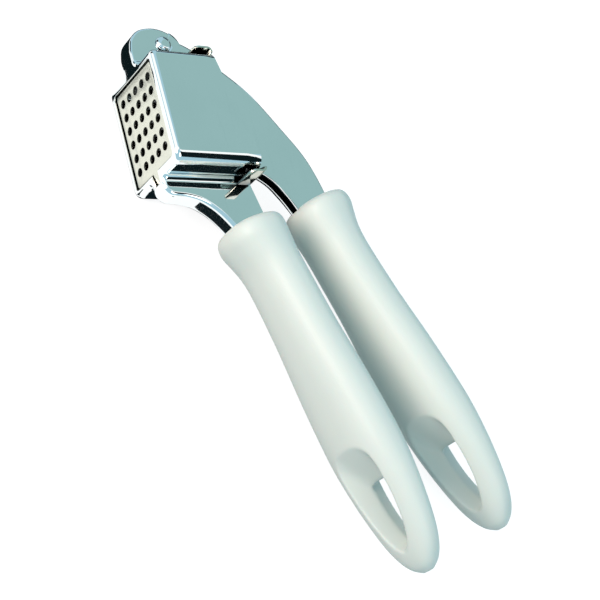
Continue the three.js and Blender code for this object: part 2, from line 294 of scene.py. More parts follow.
def place(piece, finish, body, slot, *nodes):
    """Gives a piece its finish and its body, and hides the CAD nodes it stands for."""
    piece.data.materials.clear()
    piece.data.materials.append(finish)
    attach(piece, body)
    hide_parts(*nodes)


# ---------------------------------------------------------------- finishes

# Near black of the painted shade down narrow gaps and holes.
PAINTED_GAP_SHADE = (0.004, 0.006, 0.006)


class Value:
    """An output of a shader node, with arithmetic that adds Math nodes."""

    def __init__(self, finish, output):
        self.finish = finish
        self.output = output

    def math(self, operation, a, b):
        return self.finish.node("ShaderNodeMath", {"operation": operation}, {0: a, 1: b})

    def __add__(self, other):
        return self.math("ADD", self, other)

    def __sub__(self, other):
        return self.math("SUBTRACT", self, other)

    def __rsub__(self, other):
        return self.math("SUBTRACT", other, self)

    def __mul__(self, other):
        return self.math("MULTIPLY", self, other)

    __radd__ = __add__
    __rmul__ = __mul__


class Finish:
    """One material and the nodes in it."""

    def __init__(self, name):
        self.material = bpy.data.materials.new(name)
        self.material.use_nodes = True
        self.tree = self.material.node_tree
        self.tree.nodes.clear()

    def node(self, kind, settings=None, sockets=None, output=0):
        """Adds a node: its settings first, then the values or links of its sockets."""
        made = self.tree.nodes.new(kind)
        for key, value in (settings or {}).items():
            if key == "stops":
                while len(made.color_ramp.elements) < len(value):
                    made.color_ramp.elements.new(0.5)
                for element, (place_on_ramp, shade) in zip(made.color_ramp.elements, value):
                    element.position = place_on_ramp
                    element.color = (shade, shade, shade, 1)
            else:
                setattr(made, key, value)
        for key, value in (sockets or {}).items():
            if isinstance(value, Value):
                self.tree.links.new(value.output, made.inputs[key])
            else:
                made.inputs[key].default_value = value
        return Value(self, made.outputs[output]) if made.outputs else None

    def stretched(self, scale):
        """The piece's own coordinates, scaled along each axis."""
        where = self.node("ShaderNodeTexCoord", output="Object")
        return self.node("ShaderNodeMapping", sockets={"Vector": where, "Scale": scale})

    def noise(self, scale, stretch=(1, 1, 1), detail=3.0):
        sockets = {"Vector": self.stretched(stretch), "Scale": scale, "Detail": detail}
        return self.node("ShaderNodeTexNoise", None, sockets, output="Fac")

    def ramp(self, value, *stops):
        return self.node("ShaderNodeValToRGB", {"stops": stops}, {"Fac": value})

    def blend(self, factor, first, second):
        """A mix of two colours, each given as numbers or as the output of another node."""
        first, second = (c if isinstance(c, Value) else (*c, 1) for c in (first, second))
        sockets = {0: factor, 6: first, 7: second}
        return self.node("ShaderNodeMix", {"data_type": "RGBA"}, sockets, output=2)

    def painted_recess_shade(self, colour, depth, low, high):
        """Painted shade: a colour that turns black down narrow gaps and holes, where little open sky reaches
        them.
        """
        open_sky = self.node("ShaderNodeAmbientOcclusion", None, {"Distance": depth}, output="AO")
        return self.blend(self.ramp(open_sky, (low, 0.0), (high, 1.0)), PAINTED_GAP_SHADE, colour)

    def bump(self, height, strength, distance):
        sockets = {"Height": height, "Strength": strength, "Distance": distance}
        return self.node("ShaderNodeBump", None, sockets)

    def surface(self, **sockets):
        named = {key.replace("_", " "): value for key, value in sockets.items()}
        shader = self.node("ShaderNodeBsdfPrincipled", None, named)
        self.node("ShaderNodeOutputMaterial", None, {"Surface": shader})
        return self.material


def chrome_finish(name, tint, worn, roughness):
    """Bright plate with faint handling marks, hairlines, a slightly uneven shine and painted shade down its
    gaps and holes.
    """
    finish = Finish(name)
    smudge = finish.ramp(finish.noise(60, detail=4), (0.42, 0.0), (0.75, 1.0))
    hairline = finish.ramp(finish.noise(900, (0.06, 1.0, 1.0), 2.0), (0.6, 0.0), (0.72, 1.0))
    shine = roughness + smudge * 0.035 + hairline * 0.05
    colour = finish.blend(smudge * 0.5 + hairline * 0.2, tint, worn)
    ripple = finish.noise(120, detail=1.0)
    # Base colour: painted shade from ambient occlusion blackens the plate down gaps, holes and the chamber's
    # inside.
    return finish.surface(
        Base_Color=finish.painted_recess_shade(colour, 0.020, 0.12, 0.4), Metallic=1.0, Roughness=shine,
        Normal=finish.bump(ripple, 0.04, 0.0001),
    )


def strainer_finish(tint, shade):
    """Pale stainless sheet with fine brushing along the chamber and painted shade down its holes."""
    finish = Finish("brushed_strainer_steel")
    grain = finish.noise(2200, (1.0, 0.03, 0.03), 3.0)
    cloud = finish.noise(90, detail=3)
    where = finish.node("ShaderNodeTexCoord", output="Object")
    height = finish.node("ShaderNodeSeparateXYZ", None, {"Vector": where}, output="Y") - ORIGIN.y
    brushed = finish.ramp(height * 50, (0.25, 1.0), (0.5, 0.0))
    colour = finish.blend(grain * 0.6 + cloud * 0.4, shade, tint)
    # Base colour: painted shade from ambient occlusion blackens the sheet down its holes and gaps.
    return finish.surface(
        Base_Color=finish.painted_recess_shade(colour, 0.030, 0.25, 0.6), Metallic=1.0,
        Roughness=0.08 + brushed * (0.22 + grain * 0.16) + cloud * 0.05,
        Normal=finish.bump(grain, 0.12, 0.00005),
    )


def grip_finish(tint, shade):
    """Moulded plastic with a soft gloss, a very fine grain and slow colour variation."""
    finish = Finish("moulded_grip_plastic")
    cloud = finish.noise(35, detail=3)
    grain = finish.noise(2600, detail=2)
    swirl = finish.noise(90, (0.3, 1.0, 1.0), 2.0)
    colour = finish.blend(cloud * 0.7 + swirl * 0.3, tint, shade)
    return finish.surface(
        Base_Color=colour, Roughness=0.42 + grain * 0.08 + cloud * 0.06, IOR=1.45,
        Normal=finish.bump(grain, 0.05, 0.00003), Coat_Weight=0.02 + swirl * 0.05, Coat_Roughness=0.3,
        Subsurface_Weight=0.08, Subsurface_Scale=0.002,
    )


def floor_finish(tint):
    """A plain matt floor that glows a little, so that its shadows stay faint."""
    finish = Finish("pale_floor")
    cloud = finish.noise(3.0, detail=2)
    darker = tuple(value * 0.985 for value in tint)
    return finish.surface(
        Base_Color=finish.blend(cloud, tint, darker), Roughness=0.9,
        Emission_Color=(1, 1, 1, 1), Emission_Strength=0.88,
    )


def card_finish(name, colour, strength):
    """An even glow for a card."""
    finish = Finish(name)
    glow = finish.node("ShaderNodeEmission", None, {"Color": (*colour, 1), "Strength": strength})
    finish.node("ShaderNodeOutputMaterial", None, {"Surface": glow})
    return finish.material


# ---------------------------------------------------------------- chamber lever

def chamber_stations(ear_bend, chamber_bend, neck_bend):
    """Stations round half of the chamber's plan, from the ear's flange to the neck's.

    Each is X, Z, the inward direction, the bend's radius and the height of the wall's top.
    """
    stations = []
    throat_z = CHANNEL_HALF + THROAT_RADIUS
    corner_z = CHAMBER_HALF - CORNER_RADIUS
    pivot_corner_z = CHAMBER_HALF - PIVOT_CORNER_RADIUS
    end = CHAMBER_LENGTH

    def add(x, z, nx, nz, radius, top=None):
        stations.append((x, z, nx, nz, radius, rim_height(x) if top is None else top))

    add(-THROAT_RADIUS - 0.4, CHANNEL_HALF, 0, -1, ear_bend, EAR_TOP)
    for i in range(11):
        t = i / 10
        a = math.radians(-90 + 90 * t)
        top = EAR_TOP + (rim_height(0) - EAR_TOP) * t * t * (3 - 2 * t)
        radius = ear_bend + (chamber_bend - ear_bend) * t
        c, s = math.cos(a), math.sin(a)
        add(-THROAT_RADIUS + THROAT_RADIUS * c, throat_z + THROAT_RADIUS * s, c, s, radius, top)
    add(0, throat_z + 0.3, 1, 0, chamber_bend)
    add(0, pivot_corner_z - 0.3, 1, 0, chamber_bend)
    for i in range(11):
        a = math.radians(180 - 90 * i / 10)
        c, s = math.cos(a), math.sin(a)
        add(PIVOT_CORNER_RADIUS * (1 + c), pivot_corner_z + PIVOT_CORNER_RADIUS * s, -c, -s, chamber_bend)
    for i in range(7):
        x = PIVOT_CORNER_RADIUS + 0.4 + (end - PIVOT_CORNER_RADIUS - CORNER_RADIUS - 0.8) * i / 6
        add(x, CHAMBER_HALF, 0, -1, chamber_bend)
    for i in range(13):
        a = math.radians(90 - 90 * i / 12)
        c, s = math.cos(a), math.sin(a)
        add(end - CORNER_RADIUS + CORNER_RADIUS * c, corner_z + CORNER_RADIUS * s, -c, -s, chamber_bend)
    add(end, corner_z - 0.3, -1, 0, chamber_bend)
    add(end, throat_z + 0.3, -1, 0, chamber_bend)
    for i in range(11):
        t = i / 10
        a = math.radians(180 + 90 * t)
        radius = chamber_bend + (neck_bend - chamber_bend) * t
        c, s = math.cos(a), math.sin(a)
        add(end + THROAT_RADIUS + THROAT_RADIUS * c, throat_z + THROAT_RADIUS * s, c, s, radius)
    add(end + THROAT_RADIUS + 0.4, CHANNEL_HALF, 0, -1, neck_bend)
    return stations


def bend_rows(radius):
    """Inset from the wall and height above the web at each row round a bend."""
    turns = [math.radians(90 * i / 8) for i in range(9)]
    return [(radius * (1 - math.sin(t)), radius * (1 - math.cos(t))) for t in turns]


def wall_column(station):
    """The places up one column of the chamber's wall, above its bend."""
    x, z, _, _, radius, top = station
    low = radius + 0.3
    return [(x, radius, z)] + [(x, low + (top - low) * i / 6, z) for i in range(7)]


def ear_line():
    """The outside of the web round the ear, from its end to the chamber."""
    pairs = [(-12.3, 14.5), (-13.35, 11.7), (EAR_TIP_X + 0.1, 8.2), (-12.2, 4.1), (-9, 1.1), (-5, 0)]
    return without_repeats(smooth(pairs, 34) + [Vector((-3.6, 0)), Vector((-THROAT_RADIUS - 0.4, 0))])


def neck_line():
    """The outside of the web from the chamber, up the neck and along the tang."""
    pairs = [(40.79, 3.1), (41.2, 7.5), (42.7, 12), (46.8, 17), (54, 21.9), (62, 25.4)]
    tang = along_grip(GRIP_A, TANG_LENGTH, -TANG_WEB)
    line = [Vector((CHAMBER_LENGTH + THROAT_RADIUS + 0.4, 0))] + arc(37.4, 3.4, 3.4, -90, -5, 12)
    return without_repeats(line + smooth(pairs, 40)[1:] + [tang])


def tang_top():
    """The free edge of the chamber lever's tang, from its end to the rim."""
    return [along_grip(GRIP_A, TANG_LENGTH, 3.4), along_grip(GRIP_A, 16, 3.4), Vector((54, rim_height(54)))]


def web_strip(p, inner):
    """Places across the web, with a narrow strip beside each of its bends."""
    return [(p.x, p.y, z) for z in (inner, inner - BEND_STRIP, BEND_STRIP - inner, -inner)]


def web_and_bends(skin, line, width, radius, side):
    """The web along a line and the bend at each of its edges; gives the bends' far edge."""
    normals = [n * side for n in left_normals(line)]
    for end in (0, -1):
        if abs(line[end].y) <= 1e-6:
            normals[end] = Vector((0, 1))
    skin.grid([web_strip(p, width - radius) for p in line])
    rows = bend_rows(radius)
    for sign in (1, -1):
        skin.grid([
            [(p.x + n.x * up, p.y + n.y * up, sign * (width - inset)) for inset, up in rows]
            for p, n in zip(line, normals)
        ])
    return [(p.x + n.x * radius, p.y + n.y * radius) for p, n in zip(line, normals)]


def window_outline():
    """The window in the chamber's bottom, with the notch for the strainer's tab."""
    x0, x1 = WINDOW_MARGIN, CHAMBER_LENGTH - WINDOW_MARGIN
    half, r, small = CHAMBER_HALF - WINDOW_MARGIN, WINDOW_RADIUS, 0.7
    return [
        *arc(NOTCH_END - small, NOTCH_HALF - small, small, 0, 90, 4),
        Vector((x1, NOTCH_HALF)),
        *arc(x1 - r, half - r, r, 0, 90, 6),
        *arc(x0 + r, half - r, r, 90, 180, 6),
        *arc(x0 + r, -half + r, r, 180, 270, 6),
        *arc(x1 - r, -half + r, r, 270, 360, 6),
        Vector((x1, -NOTCH_HALF)),
        *arc(NOTCH_END - small, -NOTCH_HALF + small, small, 270, 360, 4),
    ]


def chamber_lever(sizes):
    """The whole sheet of the chamber lever: ear, chamber, neck and tang."""
    skin = Skin()
    ear, chamber, neck = sizes.ear_bend / MM, sizes.chamber_bend / MM, sizes.neck_bend / MM
    stations = chamber_stations(ear, chamber, neck)
    for sign in (1, -1):
        skin.grid([
            [(x + nx * inset, up, sign * (z + nz * inset)) for inset, up in bend_rows(radius)]
            for x, z, nx, nz, radius, _ in stations
        ])
        skin.grid([[(x, y, sign * z) for x, y, z in wall_column(s)] for s in stations])

    ear_edge = web_and_bends(skin, ear_line(), CHANNEL_HALF, ear, 1)
    neck_edge = web_and_bends(skin, neck_line(), CHANNEL_HALF, neck, 1)
    first, last = wall_column(stations[0]), wall_column(stations[-1])
    ear_top = smooth([(-6, EAR_TOP), (-8, 17.4), (-9.8, 16.8), (-11.2, 15.9), (-12.3, 14.5)], 10)
    ear_flange = ear_edge + [(x, y) for x, y, _ in first[1:]] + [(p.x, p.y) for p in ear_top]
    neck_flange = neck_edge + [(p.x, p.y) for p in tang_top()] + [(x, y) for x, y, _ in reversed(last[1:])]
    for sign in (1, -1):
        for flange in (ear_flange, neck_flange):
            skin.fill([(x, y, sign * CHANNEL_HALF) for x, y in flange])

    near = [(x + nx * radius, 0, z + nz * radius) for x, z, nx, nz, radius, _ in stations]
    x_in, x_out = near[0][0], near[-1][0]
    ear_in, neck_in = CHANNEL_HALF - ear - BEND_STRIP, CHANNEL_HALF - neck - BEND_STRIP
    outline = near + [(x_out, 0, neck_in), (x_out, 0, -neck_in)]
    outline += [(x, y, -z) for x, y, z in reversed(near)] + [(x_in, 0, -ear_in), (x_in, 0, ear_in)]
    skin.fill(outline, [(p.x, 0, p.y) for p in window_outline()])

    piece = skin.build("bent_chamber_lever", (17, 14, 0))
    thicken(piece, sizes.sheet / MM)
    drill(piece, [(PIVOT, PIVOT_HOLE)])
    soften(piece, 0.2)
    return piece


# ---------------------------------------------------------------- press lever

def press_web_line():
    """The outside of the lever's web, from the pivot's eye over the arch to the tang's end."""
    arch = [(-11, 16), (-8.7, 21.4), (-2.4, 29.9), (5.2, 38.3), (15.9, 45.9), (27, 52.6), (40, 56.4)]
    tang = along_grip(GRIP_B, TANG_LENGTH, TANG_WEB)
    return without_repeats(smooth([*arch, (52, 58.6)], 70) + [tang])


def tang_edge():
    """The free edge of the press lever's tang, from its end to the collar."""
    return [along_grip(GRIP_B, TANG_LENGTH, -TANG_WEB), along_grip(GRIP_B, 15, -4.6)]


def press_lower_line():
    """The lever's free edge: under the tang, down the stem, round its two eyes."""
    stem = smooth([(44, 44.4), (38.3, 41), (33, 36.4), (28.6, 27), (PIN.x + PIN_LOBE + 0.6, 13)], 28)
    arch = smooth([(18.2, 13), (17.2, 19), (13.5, 23.4), (7, 24), (0, 20.8), (-3.4, 15.5)], 32)
    pin_eye = arc(PIN.x, PIN.y, PIN_LOBE, 15, -195, 20)
    pivot_eye = arc(PIVOT.x, PIVOT.y, LEVER_LOBE, 10, -185, 26)
    return without_repeats([*tang_edge(), *stem, *pin_eye, *arch, *pivot_eye])


def press_lever(sizes):
    """The arched lever, a narrow channel whose open side faces the chamber."""
    skin = Skin()
    edge = web_and_bends(skin, press_web_line(), LEVER_HALF, LEVER_BEND, -1)
    outline = edge + [(p.x, p.y) for p in press_lower_line()]
    for sign in (1, -1):
        skin.fill([(x, y, sign * LEVER_HALF) for x, y in outline])
    piece = skin.build("arched_press_lever", (5, 33, 0))
    thicken(piece, sizes.sheet / MM)
    drill(piece, [(PIVOT, PIVOT_HOLE), (PIN, PIN_HOLE)])
    soften(piece, 0.16)
    return piece


# ---------------------------------------------------------------- strainer

def strainer_holes(sizes):
    """The middles of the strainer's holes, row by row."""
    rows, columns = sizes.hole_rows, sizes.hole_columns
    for row in range(rows):
        for column in range(columns):
            yield (
                17.2 + (row - (rows - 1) / 2) * sizes.hole_pitch_x / MM,
                (column - (columns - 1) / 2) * sizes.hole_pitch_z / MM,
            )


def strainer_end(skin, direction, floor, wall_half, outside, flap_low):
    """An end wall of the strainer and the two hooks that hang it on the chamber's rim."""
    wall = 0.0 if direction < 0 else CHAMBER_LENGTH
    bend, roll, corner, inside, shoulder = 0.8, 0.9, 1.6, -1.2, 16.2
    top = rim_height(wall) + 0.4
    rise = [(inside - bend + bend * math.sin(t), floor + bend * (1 - math.cos(t))) for t in QUARTER]
    rise += [(inside, shoulder)]
    zs = (wall_half, HOOK_INNER_Z, -HOOK_INNER_Z, -wall_half)
    skin.grid([[(wall + direction * out, y, z) for z in zs] for out, y in rise])
    hook = [(inside, shoulder, wall_half), (inside, (shoulder + top) / 2, wall_half)]
    hook += [(inside + roll * (1 - math.cos(t)), top - roll * (1 - math.sin(t)), wall_half) for t in QUARTER]
    for i in range(1, 7):
        t = i / 6
        out = inside + roll + (outside - inside - 2 * roll) * t
        hook.append((out, top, wall_half + (HOOK_OUTER_Z - wall_half) * t * t * (3 - 2 * t)))
    for t in QUARTER:
        hook.append((outside - roll * (1 - math.sin(t)), top - roll * (1 - math.cos(t)), HOOK_OUTER_Z))
    for t in QUARTER:
        low, side_z = flap_low + corner * (1 - math.sin(t)), HOOK_OUTER_Z - corner * (1 - math.cos(t))
        hook.append((outside, low, side_z))
    for side in (1, -1):
        skin.grid([
            [(wall + direction * out, y, side * z), (wall + direction * out, y, side * HOOK_INNER_Z)]
            for out, y, z in hook
        ])


def strainer_tab():
    """The small tongue that sits in the notch of the window."""
    skin = Skin()
    half = 1.35
    side = [(31.4, 0.5), (33.0, 0.5), (36.1, 1.35), (36.0, 1.9), (32.9, 1.05), (31.4, 1.0)]
    skin.grid([[(x, y, z) for x, y in side] for z in (-half, half)], closed=True)
    for z in (-half, half):
        skin.fill([(x, y, z) for x, y in side])
    piece = skin.build("strainer_tab", (33, 0.9, 0))
    soften(piece, 0.15, limit=30)
    return piece


def strainer_insert(sizes):
    """A pierced pan that fills the window, with an end wall at each side and a tab."""
    skin = Skin()
    floor, face, sheet = 1.2, 0.45, 0.6
    drop = floor - face
    half = CHAMBER_HALF - WINDOW_MARGIN
    x0, x1 = WINDOW_MARGIN, CHAMBER_LENGTH - WINDOW_MARGIN
    loops = []
    for turn in QUARTER:
        inset, y = 0.35 + drop * 0.6 * (1 - math.cos(turn)), floor - drop * math.sin(turn)
        outline = rounded_box(x0 + inset, x1 - inset, half - inset, WINDOW_RADIUS - 0.3)
        loops.append([(p.x, y, p.y) for p in outline])
    skin.grid(loops, closed=True)
    holes = []
    for x, z in strainer_holes(sizes):
        circle = arc(x, z, sizes.hole_radius / MM, 0, 345, 23)
        holes.append([(p.x, face, p.y) for p in circle])
    skin.fill(loops[-1], *holes)
    outer = rounded_box(2.0, CHAMBER_LENGTH - 2.0, CHAMBER_HALF - 1.3, 1.6)
    wall_half = CHAMBER_HALF - CORNER_RADIUS - 0.5
    outline = []
    for i, p in enumerate(outer):
        outline.append((p.x, floor, p.y))
        after = outer[(i + 1) % len(outer)]
        if abs(after.x - p.x) < 1e-4 and abs(after.y - p.y) > 10:
            sign = 1 if p.y > 0 else -1
            outline += [(p.x, floor, sign * z) for z in (wall_half, HOOK_INNER_Z, -HOOK_INNER_Z, -wall_half)]
    skin.fill(outline, loops[0])
    for direction, outside, flap_low in ((-1, 2.2, 15.8), (1, 1.6, 24.0)):
        strainer_end(skin, direction, floor, wall_half, outside, flap_low)
    piece = skin.build("pierced_strainer_pan", (17, 8, 0))
    thicken(piece, sheet)
    soften(piece, 0.12)
    return piece, strainer_tab()


# ---------------------------------------------------------------- rivets and plunger

def rivet(name, middle, radius, head, face, height):
    """A shank along Z with a domed, slightly flattened head outside each face."""
    profile = [(radius, 0.0), (radius, face - 0.02), (head - 0.12, face), (head, face + 0.1)]
    for i in range(1, 11):
        turn = math.radians(9 * i)
        out = head * math.cos(turn) ** 0.65 if i < 10 else 0.0
        profile.append((out, face + 0.1 + (height - 0.1) * math.sin(turn)))
    full = [(r, -z) for r, z in reversed(profile[1:])] + profile
    turns = [2 * math.pi * i / 40 for i in range(40)]
    skin = Skin()
    skin.grid(
        [[(middle.x + r * math.cos(t), middle.y + r * math.sin(t), z) for t in turns] for r, z in full],
        closed=True)
    return skin.build(name, (middle.x, middle.y, 0))


def press_tray():
    """The plate that pushes the garlic: a shallow pan with a rolled rim."""
    x0, x1, half, low, high, sheet, bend = 6.1, 32.2, 11.2, 2.4, 5.0, 0.8, 1.2
    rings = [(bend * (1 - math.sin(t)), low + bend * (1 - math.cos(t))) for t in QUARTER]
    for i in range(9):
        t = math.radians(180 * i / 8)
        rings.append((sheet / 2 * (1 - math.cos(t)), high - sheet / 2 + sheet / 2 * math.sin(t)))
    inner = bend - sheet * 0.6
    for t in reversed(QUARTER):
        rings.append((sheet + inner * (1 - math.sin(t)), low + sheet + inner * (1 - math.cos(t))))
    skin = Skin()
    loops = [
        [(p.x, y, p.y) for p in rounded_box(x0 + inset, x1 - inset, half - inset, max(2.4 - inset, 0.5), 8)]
        for inset, y in rings
    ]
    skin.grid(loops, closed=True)
    for loop in (loops[0], loops[-1]):
        skin.fill(loop)
    return skin.build("press_tray", (18, 3, 0))


def plunger_saddle():
    """The small channel on the press tray whose ears hold the plunger's pin."""
    skin = Skin()
    base, half, bend, reach = 3.5, 3.2, 0.9, 6.0
    line = [Vector((PIN.x - reach + 2 * reach * i / 8, base)) for i in range(9)]
    skin.grid([web_strip(p, half - bend) for p in line])
    ear = [(p.x, base + bend) for p in line]
    ear += [(p.x, p.y) for p in arc(PIN.x, PIN.y, PIN_LOBE + 0.4, 20, 160, 18)]
    for sign in (1, -1):
        skin.grid([[(p.x, p.y + up, sign * (half - inset)) for inset, up in bend_rows(bend)] for p in line])
        skin.fill([(x, y, sign * half) for x, y in ear])
    piece = skin.build("plunger_saddle", (PIN.x, 6, 0))
    thicken(piece, 0.6)
    drill(piece, [(PIN, PIN_HOLE)])
    soften(piece, 0.12)
    return piece


# ---------------------------------------------------------------- grips

# Distance from the collar, half thickness, half width and outward lean of a grip.
GRIP_SHAPE = [
    (0.0, 6.6, 7.6, 1.2), (0.9, 8.3, 9.4, 1.3), (2.6, 9.15, 10.3, 1.3), (5.0, 9.25, 10.5, 1.3),
    (8.0, 8.6, 10.2, 0.9), (13.0, 7.5, 9.9, 0.3), (19.0, 7.2, 9.9, 0.0), (35.0, 7.2, 10.6, 0.0),
    (52.0, 7.5, 12.1, 0.0), (68.0, 7.6, 12.9, 0.0), (76.0, 7.2, 12.85, 0.0), (86.0, 6.2, 12.0, 0.0),
    (96.0, 5.2, 10.0, 0.0), (102.0, 4.4, 7.6, 0.0), (106.0, 3.1, 4.6, 0.0), (108.0, 1.1, 1.8, 0.0),
]
GRIP_LENGTH = GRIP_SHAPE[-1][0]
GRIP_SQUARENESS = 2.4


def grip_size(u):
    """Half thickness, half width and lean at a distance from the collar."""
    last = len(GRIP_SHAPE) - 1
    i = max(j for j in range(last) if GRIP_SHAPE[j][0] <= u)
    before, here, after, beyond = (GRIP_SHAPE[min(max(j, 0), last)] for j in range(i - 1, i + 3))
    span = after[0] - here[0]
    result = []
    for k in (1, 2, 3):
        v0 = (after[k] - before[k]) / (after[0] - before[0]) * span
        v1 = (beyond[k] - here[k]) / (beyond[0] - here[0]) * span
        result.append(cubic(here[k], after[k], v0, v1, (u - here[0]) / span))
    return result


def signed_power(value, power):
    """A power that keeps the sign, for the squarish outlines of the grips and their eyes."""
    return math.copysign(abs(value) ** power, value)


def grip_body(name, grip_axis, outward):
    """The plain lofted body of a grip, from its collar to its tip."""
    stops = [0.0, 0.25, 0.6, 1.0, 1.5, 2.0]
    stops += [2.0 + (104.0 - 2.0) * i / 90 for i in range(1, 91)]
    stops += [105.0, 106.0, 106.8, 107.4, 107.8, GRIP_LENGTH]
    skin = Skin()
    loops = []
    for u in stops:
        thick, wide, lean = grip_size(min(u, GRIP_LENGTH - 0.001))
        loop = []
        for i in range(56):
            t = 2 * math.pi * i / 56
            v = thick * signed_power(math.cos(t), 2 / GRIP_SQUARENESS) + lean * outward
            p = along_grip(grip_axis, u, v)
            loop.append((p.x, p.y, wide * signed_power(math.sin(t), 2 / GRIP_SQUARENESS)))
        loops.append(loop)
    skin.grid(loops, closed=True)
    for loop in (loops[0], loops[-1]):
        skin.fan(loop)
    middle = along_grip(grip_axis, 50, 0)
    return skin.build(name, (middle.x, middle.y, 0))


def eye_scoop(grip_axis, side):
    """Half of the hanging eye: a ramp and steep sides down to the grip's middle plane."""
    skin = Skin()
    loops = []
    for i in range(9):
        v = side * (-0.3 + 9.8 * i / 8)
        lift = abs(v) if i else 0.0
        ramp, widest, bottom = 81.0 - 1.55 * lift, 82.5 - 0.3 * lift, 99.0 + 0.32 * lift
        half = 5.0 + 0.43 * lift
        loop = []
        for k in range(48):
            t = 2 * math.pi * k / 48
            c, s = math.cos(t), math.sin(t)
            power = 0.5 if c < 0 else 1.1
            u = widest + (widest - ramp if c < 0 else bottom - widest) * signed_power(c, power)
            p = along_grip(grip_axis, u, v)
            loop.append((p.x, p.y, half * signed_power(s, power)))
        loops.append(loop)
    skin.grid(loops, closed=True)
    for loop in (loops[0], loops[-1]):
        skin.fan(loop)
    middle = along_grip(grip_axis, 90, side * 4)
    return skin.build("eye_scoop", (middle.x, middle.y, 0))


def tang_pocket(outline, middle):
    """The slot in a grip that its lever's tang fills, a little wider all round."""
    points = [Vector(p) for p in outline]
    normals = left_normals(points + [points[0]])
    centre = sum(points, Vector((0, 0))) / len(points)
    grown = []
    for p, n in zip(points, normals):
        out = n if n.dot(p - centre) > 0 else -n
        grown.append(p + out * POCKET_GAP)
    skin = Skin()
    half = middle + POCKET_GAP
    skin.grid([[(p.x, p.y, z) for p in grown] for z in (-half, half)], closed=True)
    for z in (-half, half):
        skin.fill([(p.x, p.y, z) for p in grown])
    return skin.build("tang_pocket", (centre.x, centre.y, 0))


def grip(name, grip_axis, outward, tang, tang_half, sizes):
    """A moulded grip: its body, the hanging eye, soft edges and the tang's pocket."""
    piece = grip_body(name, grip_axis, outward)
    for side in (1, -1):
        cut(piece, eye_scoop(grip_axis, side))
    voxels = piece.modifiers.new("even_skin", "REMESH")
    voxels.mode = "VOXEL"
    voxels.voxel_size = sizes.grip_skin
    bake(piece)
    soft = piece.modifiers.new("soft_edges", "SMOOTH")
    soft.factor = 0.5
    soft.iterations = sizes.grip_softness
    bake(piece)
    cut(piece, tang_pocket(tang, tang_half))
    piece.data.shade_smooth()
    piece.data.set_sharp_from_angle(angle=math.radians(45))
    return piece


def tang_a():
    """The part of the chamber lever's outline that lies in its grip."""
    return [p for p in neck_line() if p.x > 43.5] + tang_top() + [Vector((41.5, rim_height(41.5)))]


def tang_b():
    """The part of the press lever's outline that lies in its grip."""
    return [p for p in press_web_line() if p.x > 33] + tang_edge() + [Vector((44, 44.4)), Vector((38.3, 41))]


# ---------------------------------------------------------------- settings

class PressSizes(bpy.types.PropertyGroup):
    """Sizes that a maker would change."""

    sheet: bpy.props.FloatProperty(
        name="Sheet", description="Thickness of the levers' sheet metal", default=0.0009, unit="LENGTH",
        precision=5)
    chamber_bend: bpy.props.FloatProperty(
        name="Chamber bend", description="Outer radius of the bend round the chamber's window",
        default=0.0016, unit="LENGTH", precision=5)
    ear_bend: bpy.props.FloatProperty(
        name="Ear bend", description="Outer radius of the bend round the pivot's ear", default=0.0007,
        unit="LENGTH", precision=5)
    neck_bend: bpy.props.FloatProperty(
        name="Neck bend", description="Outer radius of the bend along the neck", default=0.0013,
        unit="LENGTH", precision=5)
    hole_radius: bpy.props.FloatProperty(
        name="Hole radius", description="Radius of the strainer's holes", default=0.0013, unit="LENGTH",
        precision=5)
    hole_pitch_x: bpy.props.FloatProperty(
        name="Row pitch", description="Distance between rows of holes along the chamber", default=0.0044,
        unit="LENGTH", precision=5)
    hole_pitch_z: bpy.props.FloatProperty(
        name="Column pitch", description="Distance between holes across the chamber", default=0.00378,
        unit="LENGTH", precision=5)
    hole_rows: bpy.props.IntProperty(name="Rows", description="Rows of holes along the chamber", default=6)
    hole_columns: bpy.props.IntProperty(name="Columns", description="Holes in each row", default=5)
    grip_skin: bpy.props.FloatProperty(
        name="Grip skin", description="Size of the cells in a grip's skin", default=0.00038, unit="LENGTH",
        precision=5)
    grip_softness: bpy.props.IntProperty(
        name="Grip softness", description="How far the edges of the grips are rounded", default=12)


class PressColours(bpy.types.PropertyGroup):
    """Colours that a maker would change."""

    chrome: bpy.props.FloatVectorProperty(
        name="Chrome", description="Colour of the plated levers", default=(0.86, 0.9, 0.9),
        subtype="COLOR", size=3)
    chrome_worn: bpy.props.FloatVectorProperty(
        name="Chrome, handled", description="Colour of the plate where it is handled",
        default=(0.8, 0.85, 0.85), subtype="COLOR", size=3)
    strainer: bpy.props.FloatVectorProperty(
        name="Strainer", description="Colour of the brushed strainer", default=(0.74, 0.75, 0.65),
        subtype="COLOR", size=3)
    strainer_shade: bpy.props.FloatVectorProperty(
        name="Strainer grain", description="Colour in the strainer's brushed grain",
        default=(0.62, 0.63, 0.55), subtype="COLOR", size=3)
    grip: bpy.props.FloatVectorProperty(
        name="Grip", description="Colour of the grips", default=(0.64, 0.68, 0.62), subtype="COLOR", size=3)
    grip_shade: bpy.props.FloatVectorProperty(
        name="Grip, slow variation", description="Second colour of the grips", default=(0.61, 0.66, 0.61),
        subtype="COLOR", size=3)
    floor: bpy.props.FloatVectorProperty(
        name="Floor", description="Colour of the floor", default=(0.25, 0.25, 0.25), subtype="COLOR", size=3)


class StudioSettings(bpy.types.PropertyGroup):
    """Light and camera."""

    lens: bpy.props.FloatProperty(
        name="Lens", description="Focal length on a 36 mm sensor", default=94.7, subtype="DISTANCE_CAMERA")
    camera_place: bpy.props.FloatVectorProperty(
        name="Camera", description="Where the camera stands", default=(0.15170, -0.26448, 0.34006),
        subtype="TRANSLATION", size=3)
    sky: bpy.props.FloatProperty(name="Sky", description="Strength of the even light", default=0.75, min=0)
    key: bpy.props.FloatProperty(
        name="Key", description="Power of the large soft light", default=5.4, unit="POWER")


def sizes_of(context):
    return context.scene.press_sizes


def colours_of(context):
    return context.scene.press_colours


# ---------------------------------------------------------------- operators

